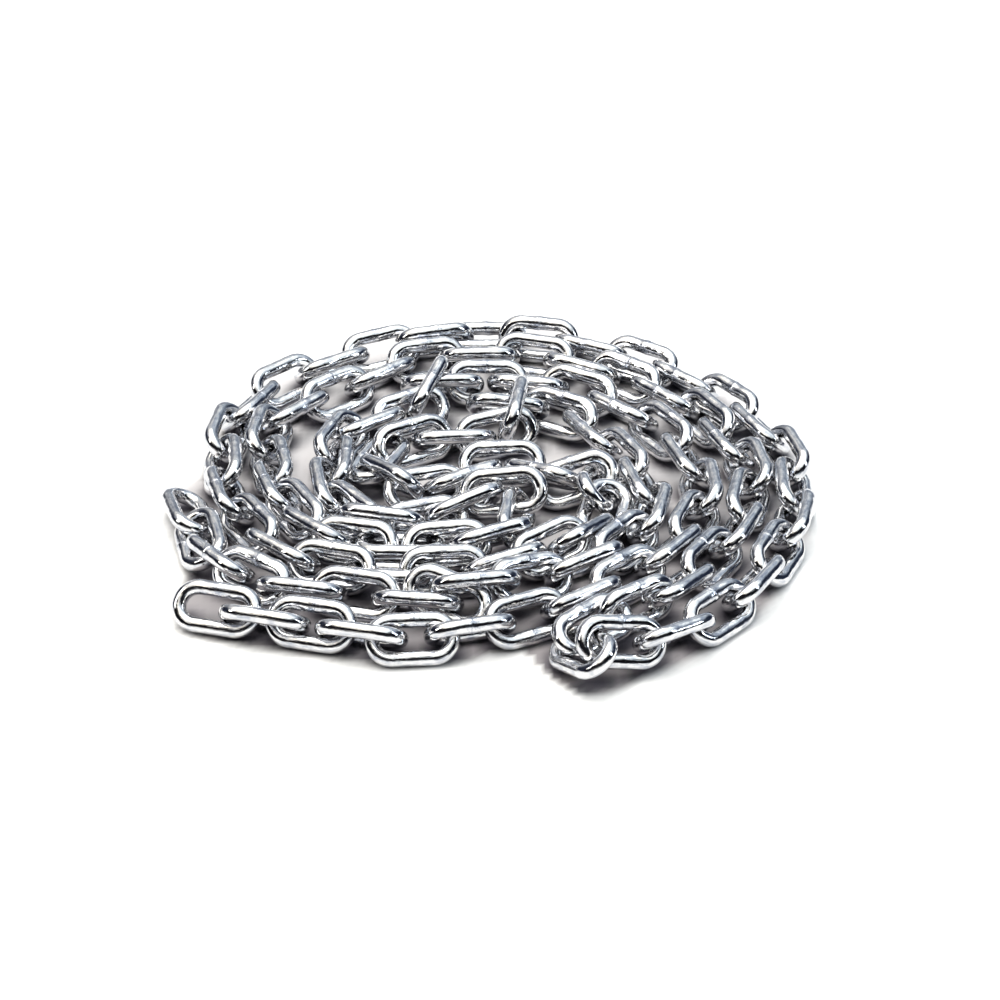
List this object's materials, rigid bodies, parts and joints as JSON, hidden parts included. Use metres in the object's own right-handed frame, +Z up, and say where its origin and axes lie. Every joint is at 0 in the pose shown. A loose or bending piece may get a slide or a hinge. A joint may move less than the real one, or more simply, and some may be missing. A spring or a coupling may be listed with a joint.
{
  "type": "heap of steel chain",
  "caption": "Long round-link welded steel chain dropped in a low heap of loose turns, bright zinc plated, with one free end at the front left.",
  "frame": {"origin": "middle of the heap's outline seen from above, on the floor plane the heap rests on", "axes": "+Z up; -Y is the side of the heap nearest the camera in the picture, where the front row of links lies; +X to the right seen from there"},
  "size_m": [0.2624, 0.2634, 0.0274],
  "materials": {
    "zinc_plated_steel": "bright zinc plated round steel wire, smooth and glossy with a faint drawn grain"
  },
  "bodies": {
    "root": {"links_01": "zinc_plated_steel", "links_02": "zinc_plated_steel", "links_03": "zinc_plated_steel", "links_04": "zinc_plated_steel", "links_05": "zinc_plated_steel", "links_06": "zinc_plated_steel", "links_07": "zinc_plated_steel", "links_08": "zinc_plated_steel", "links_09": "zinc_plated_steel", "links_10": "zinc_plated_steel", "links_11": "zinc_plated_steel", "links_12": "zinc_plated_steel", "links_13": "zinc_plated_steel", "links_14": "zinc_plated_steel", "links_15": "zinc_plated_steel", "links_16": "zinc_plated_steel", "links_17": "zinc_plated_steel", "links_18": "zinc_plated_steel", "links_19": "zinc_plated_steel", "links_20": "zinc_plated_steel", "links_21": "zinc_plated_steel", "links_22": "zinc_plated_steel", "links_23": "zinc_plated_steel", "links_24": "zinc_plated_steel", "links_25": "zinc_plated_steel", "links_26": "zinc_plated_steel", "links_27": "zinc_plated_steel", "links_28": "zinc_plated_steel", "links_29": "zinc_plated_steel", "links_30": "zinc_plated_steel", "links_31": "zinc_plated_steel", "links_32": "zinc_plated_steel", "links_33": "zinc_plated_steel", "links_34": "zinc_plated_steel", "links_35": "zinc_plated_steel", "links_36": "zinc_plated_steel", "links_37": "zinc_plated_steel", "links_38": "zinc_plated_steel", "links_39": "zinc_plated_steel", "links_40": "zinc_plated_steel", "links_41": "zinc_plated_steel", "links_42": "zinc_plated_steel", "links_43": "zinc_plated_steel", "links_44": "zinc_plated_steel", "links_45": "zinc_plated_steel", "links_46": "zinc_plated_steel", "links_47": "zinc_plated_steel", "links_48": "zinc_plated_steel", "links_49": "zinc_plated_steel", "links_50": "zinc_plated_steel", "links_51": "zinc_plated_steel", "links_52": "zinc_plated_steel", "links_53": "zinc_plated_steel", "links_54": "zinc_plated_steel", "links_55": "zinc_plated_steel", "links_56": "zinc_plated_steel", "links_57": "zinc_plated_steel", "links_58": "zinc_plated_steel", "links_59": "zinc_plated_steel", "links_60": "zinc_plated_steel"}
  },
  "joints": []
}
